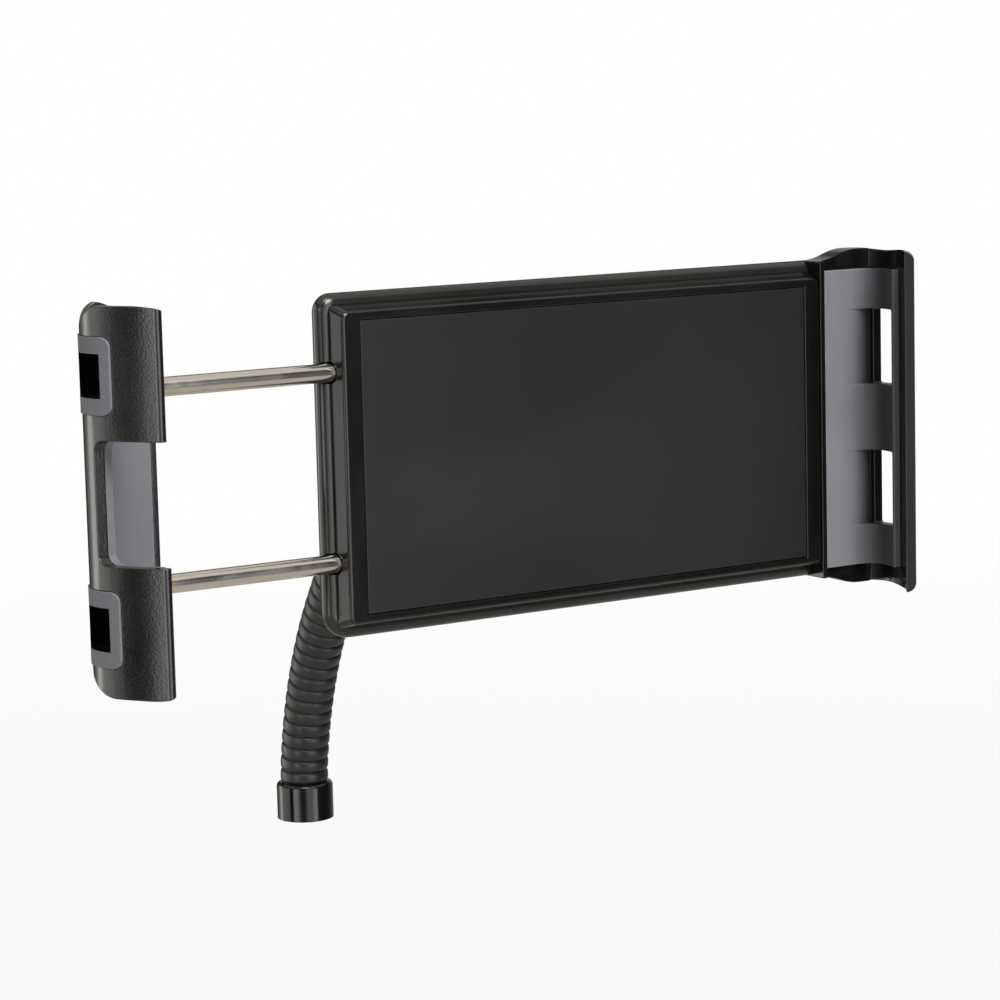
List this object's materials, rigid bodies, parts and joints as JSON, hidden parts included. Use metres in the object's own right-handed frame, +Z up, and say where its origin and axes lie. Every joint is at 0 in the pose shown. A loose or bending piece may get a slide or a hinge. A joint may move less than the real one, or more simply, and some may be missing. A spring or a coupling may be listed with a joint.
{
  "type": "phone and tablet stand",
  "caption": "Spring clamp for a phone or tablet: a flat housing with a fixed jaw and a jaw that slides on two rods, on a ball joint at the top of a ribbed gooseneck.",
  "frame": {"origin": "centre of the mouth of the threaded socket under the neck's collar", "axes": "+X along the rods towards the fixed jaw, +Y behind the face, +Z up along the collar's axis"},
  "size_m": [0.2062, 0.1644, 0.1467],
  "materials": {
    "gloss_black": "gloss",
    "matt_panel": "matte",
    "textured_black": "fine texture",
    "grey_rubber": "matte",
    "dark_rubber": "matte",
    "chromed_steel": "polished",
    "spring_steel": "drawn",
    "acetal": "natural",
    "black_steel": "blackened",
    "soft_metal": "drawn"
  },
  "bodies": {
    "neck": {"neck_sleeve": "dark_rubber", "neck_core": "soft_metal", "collar": "gloss_black", "neck_ferrule": "gloss_black", "ball_stud": "chromed_steel"},
    "rear_seat": {"pressure_ring": "acetal"},
    "front_seat": {"friction_cup": "acetal"},
    "head": {"back_shell": "gloss_black", "front_frame": "gloss_black", "face_panel": "matt_panel", "fixed_jaw_shell": "gloss_black", "fixed_jaw_liner": "grey_rubber", "rod_bushes": "acetal", "housing_screws": "black_steel", "socket_base": "textured_black", "socket_screws": "black_steel", "upper_spring": "spring_steel", "lower_spring": "spring_steel"},
    "locking_ring": {"lock_ring": "textured_black"},
    "slider": {"sliding_jaw_shell": "textured_black", "sliding_jaw_liner": "grey_rubber", "upper_rod": "chromed_steel", "lower_rod": "chromed_steel", "jaw_screws": "black_steel", "spring_washers": "spring_steel", "rod_clips": "spring_steel"}
  },
  "joints": [
    {"name": "head_tilt", "type": "hinge", "parent": "neck", "child": "rear_seat", "pos_m": [0, -0.11483, 0.10796], "axis": [1, 0, 0], "range_deg": [-25, 25]},
    {"name": "head_pan", "type": "hinge", "parent": "rear_seat", "child": "front_seat", "pos_m": [0, -0.11483, 0.10796], "axis": [0, 0, 1], "range_deg": [-25, 25]},
    {"name": "head_turn", "type": "hinge", "parent": "front_seat", "child": "head", "pos_m": [0, -0.11483, 0.10796], "axis": [0, 1, 0], "continuous": true},
    {"name": "lock_ring_turn", "type": "hinge", "parent": "head", "child": "locking_ring", "pos_m": [0, -0.11483, 0.10796], "axis": [0, 1, 0], "range_deg": [0, 60]},
    {"name": "jaw_slide", "type": "slide", "parent": "head", "child": "slider", "axis": [-1, 0, 0], "range_m": [-0.04, 0.035], "stiffness_N_per_m": 120, "springref_m": -0.05, "deforming": ["upper_spring", "lower_spring"]}
  ]
}
